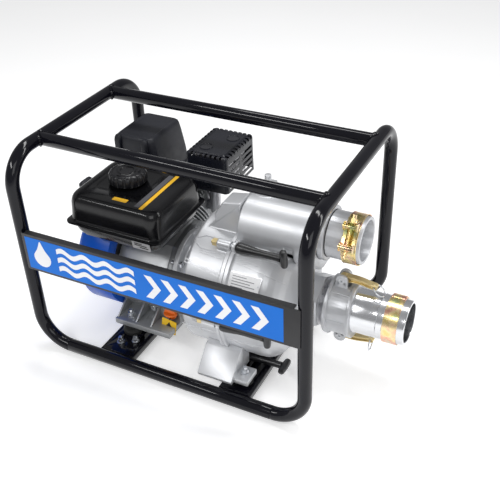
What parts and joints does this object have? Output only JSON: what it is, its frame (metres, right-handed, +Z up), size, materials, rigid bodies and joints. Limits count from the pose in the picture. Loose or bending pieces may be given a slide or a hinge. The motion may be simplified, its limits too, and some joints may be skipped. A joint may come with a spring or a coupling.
{
  "type": "gas engine trash pump",
  "caption": "Engine-driven trash pump in a tubular carrying frame: domed casing held by T-handles, discharge spigot, cam-lever suction coupler, tank, filter and muffler.",
  "frame": {"origin": "on the ground, under the middle of the tubular frame", "axes": "+X from the recoil starter to the pump ports, +Y to the air filter and muffler side, +Z up"},
  "size_m": [0.7455, 0.457, 0.454],
  "materials": {
    "frame_black": "gloss powder coat",
    "banner_blue": "satin print on sheet",
    "rubber": "matte",
    "zinc_steel": "zinc plated",
    "engine_casting": "cast",
    "bare_steel": "machined",
    "blue_paint": "gloss",
    "tank_black": "gloss",
    "black_plastic": "fine texture",
    "guard_black": "matte heat-proof paint",
    "red_plastic": "moulded",
    "orange_plastic": "moulded",
    "pump_aluminium": "die cast, satin",
    "cast_iron": "as cast",
    "yellow_zinc": "yellow zinc plate",
    "brass": "cast",
    "handle_black": "satin black"
  },
  "bodies": {
    "frame_and_housings": {"left_hoop": "frame_black", "right_hoop": "frame_black", "bottom_rails": "frame_black", "top_bars": "frame_black", "banner_plate": "banner_blue", "cross_plates": "frame_black", "rubber_mounts": "rubber", "mount_fasteners": "zinc_steel", "crankcase": "engine_casting", "side_cover": "engine_casting", "cylinder_head": "engine_casting", "rocker_cover": "bare_steel", "fan_shroud": "blue_paint", "recoil_cover": "blue_paint", "fuel_tank": "tank_black", "carburetor": "engine_casting", "air_filter_base": "black_plastic", "air_filter_cover": "black_plastic", "muffler": "bare_steel", "muffler_guard": "guard_black", "spark_plug": "black_plastic", "adapter_bolts": "zinc_steel", "rear_casing": "pump_aluminium", "front_casing": "pump_aluminium", "casing_seal": "rubber", "volute": "cast_iron", "shaft_seal": "zinc_steel", "pump_feet": "pump_aluminium", "discharge_flange": "pump_aluminium", "discharge_clamp": "yellow_zinc", "clamp_bolt": "zinc_steel", "suction_union": "pump_aluminium", "cam_coupler": "pump_aluminium", "hose_shank": "zinc_steel", "band_clamp": "yellow_zinc"},
    "rotor": {"crankshaft": "bare_steel", "flywheel": "engine_casting", "impeller": "cast_iron"},
    "piston": {"piston": "bare_steel"},
    "grip": {"recoil_grip": "black_plastic"},
    "starter_pulley": {"recoil_pulley": "black_plastic"},
    "fuel_cap": {"fuel_cap": "black_plastic"},
    "choke_lever": {"choke_lever": "black_plastic"},
    "fuel_valve_lever": {"fuel_valve_lever": "black_plastic"},
    "throttle_lever": {"throttle_lever": "black_plastic"},
    "stop_switch": {"stop_switch": "red_plastic"},
    "oil_cap": {"oil_cap": "orange_plastic"},
    "priming_plug": {"priming_plug": "pump_aluminium"},
    "drain_plug": {"drain_plug": "brass"},
    "check_valve": {"check_valve": "rubber"},
    "cam_lever_top": {"cam_lever_top": "brass"},
    "cam_lever_bottom": {"cam_lever_bottom": "brass"},
    "pull_ring_top": {"pull_ring_top": "zinc_steel"},
    "pull_ring_bottom": {"pull_ring_bottom": "zinc_steel"},
    "t_handle_1": {"t_handle_1": "handle_black"},
    "t_handle_2": {"t_handle_2": "handle_black"},
    "t_handle_3": {"t_handle_3": "handle_black"},
    "t_handle_4": {"t_handle_4": "handle_black"},
    "t_handle_5": {"t_handle_5": "handle_black"},
    "t_handle_6": {"t_handle_6": "handle_black"}
  },
  "joints": [
    {"name": "rotor_spin", "type": "hinge", "parent": "frame_and_housings", "child": "rotor", "pos_m": [0, -0.03, 0.16], "axis": [1, 0, 0], "continuous": true},
    {"name": "piston_stroke", "type": "slide", "parent": "frame_and_housings", "child": "piston", "axis": [0, 0.9063, 0.4226], "range_m": [-0.054, 0]},
    {"name": "starter_pull", "type": "slide", "parent": "frame_and_housings", "child": "grip", "axis": [0, 0, 1], "range_m": [0, 0.1]},
    {"name": "starter_pulley_turn", "type": "hinge", "parent": "frame_and_housings", "child": "starter_pulley", "pos_m": [-0.241, -0.03, 0.16], "axis": [1, 0, 0], "range_deg": [0, 135]},
    {"name": "fuel_cap_turn", "type": "hinge", "parent": "frame_and_housings", "child": "fuel_cap", "pos_m": [-0.14, -0.068, 0.36], "axis": [0, 0, 1], "range_deg": [0, 90]},
    {"name": "choke_turn", "type": "hinge", "parent": "frame_and_housings", "child": "choke_lever", "pos_m": [-0.212, 0.132, 0.24], "axis": [0, -1, 0], "range_deg": [-50, 0]},
    {"name": "fuel_valve_turn", "type": "hinge", "parent": "frame_and_housings", "child": "fuel_valve_lever", "pos_m": [-0.2, 0.132, 0.208], "axis": [0, -1, 0], "range_deg": [0, 60]},
    {"name": "throttle_turn", "type": "hinge", "parent": "frame_and_housings", "child": "throttle_lever", "pos_m": [-0.182, 0.104, 0.248], "axis": [0, 0, 1], "range_deg": [-40, 20]},
    {"name": "stop_switch_turn", "type": "hinge", "parent": "frame_and_housings", "child": "stop_switch", "pos_m": [-0.199, -0.16, 0.172], "axis": [0, -1, 0], "range_deg": [0, 60]},
    {"name": "oil_cap_turn", "type": "hinge", "parent": "frame_and_housings", "child": "oil_cap", "pos_m": [-0.046, -0.104, 0.084], "axis": [0, -1, 0], "continuous": true},
    {"name": "priming_plug_turn", "type": "hinge", "parent": "frame_and_housings", "child": "priming_plug", "pos_m": [0.132, -0.002, 0.372], "axis": [0, 0, 1], "continuous": true},
    {"name": "drain_plug_turn", "type": "hinge", "parent": "frame_and_housings", "child": "drain_plug", "pos_m": [0.16, 0.09721, 0.08051], "axis": [0, 0.848, -0.5299], "continuous": true},
    {"name": "check_valve_swing", "type": "hinge", "parent": "frame_and_housings", "child": "check_valve", "pos_m": [0.216, -0.03, 0.207], "axis": [0, 1, 0], "range_deg": [0, 60]},
    {"name": "cam_lever_top_swing", "type": "hinge", "parent": "frame_and_housings", "child": "cam_lever_top", "pos_m": [0.3, -0.03, 0.226], "axis": [0, -1, 0], "range_deg": [0, 44]},
    {"name": "cam_lever_bottom_swing", "type": "hinge", "parent": "frame_and_housings", "child": "cam_lever_bottom", "pos_m": [0.3, -0.03, 0.094], "axis": [0, 1, 0], "range_deg": [0, 110]},
    {"name": "pull_ring_top_swing", "type": "hinge", "parent": "cam_lever_top", "child": "pull_ring_top", "pos_m": [0.35996, -0.03, 0.22331], "axis": [0, -1, 0], "range_deg": [0, 90]},
    {"name": "pull_ring_bottom_swing", "type": "hinge", "parent": "cam_lever_bottom", "child": "pull_ring_bottom", "pos_m": [0.35996, -0.03, 0.09669], "axis": [0, -1, 0], "range_deg": [-60, 60]},
    {"name": "t_handle_1_turn", "type": "hinge", "parent": "frame_and_housings", "child": "t_handle_1", "pos_m": [0.1, 0.12, 0.16], "axis": [1, 0, 0], "continuous": true},
    {"name": "t_handle_2_turn", "type": "hinge", "parent": "frame_and_housings", "child": "t_handle_2", "pos_m": [0.1, 0.045, 0.2899], "axis": [1, 0, 0], "continuous": true},
    {"name": "t_handle_3_turn", "type": "hinge", "parent": "frame_and_housings", "child": "t_handle_3", "pos_m": [0.1, -0.105, 0.2899], "axis": [1, 0, 0], "continuous": true},
    {"name": "t_handle_4_turn", "type": "hinge", "parent": "frame_and_housings", "child": "t_handle_4", "pos_m": [0.1, -0.18, 0.16], "axis": [1, 0, 0], "continuous": true},
    {"name": "t_handle_5_turn", "type": "hinge", "parent": "frame_and_housings", "child": "t_handle_5", "pos_m": [0.1, -0.105, 0.0301], "axis": [1, 0, 0], "continuous": true},
    {"name": "t_handle_6_turn", "type": "hinge", "parent": "frame_and_housings", "child": "t_handle_6", "pos_m": [0.1, 0.045, 0.0301], "axis": [1, 0, 0], "continuous": true}
  ],
  "couplings": [
    {"joint": "starter_pulley_turn", "follows": "starter_pull", "rad_per_m": 22.472}
  ]
}
